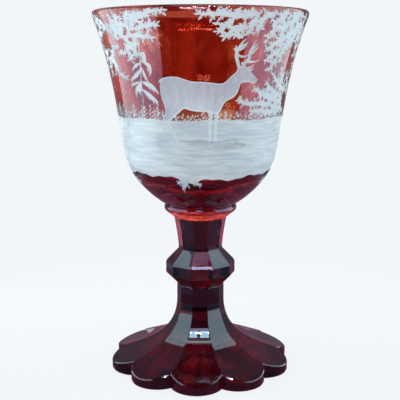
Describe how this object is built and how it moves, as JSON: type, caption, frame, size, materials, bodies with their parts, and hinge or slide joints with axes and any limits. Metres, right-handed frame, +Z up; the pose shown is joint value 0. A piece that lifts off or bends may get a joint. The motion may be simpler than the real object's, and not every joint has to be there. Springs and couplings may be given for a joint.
{
  "type": "drinking glass",
  "caption": "Footed drinking glass: an open bell-shaped bowl on a faceted, knopped stem with a scalloped foot.",
  "frame": {"origin": "centre of the foot's underside, where the goblet's axis meets the surface that it stands on", "axes": "+Z up along the goblet's axis, -Y towards the front of the engraved scene, +X to the right of it"},
  "size_m": [0.094, 0.094, 0.16],
  "materials": {
    "ruby_glass": "polished, deep ruby stain over cut facets",
    "bowl_glass": "polished ruby stain, wheel-engraved to clear frosted glass"
  },
  "bodies": {
    "root": {"foot": "ruby_glass", "knop": "ruby_glass", "upper_stem": "ruby_glass", "collar": "ruby_glass", "bowl": "bowl_glass"}
  },
  "joints": []
}
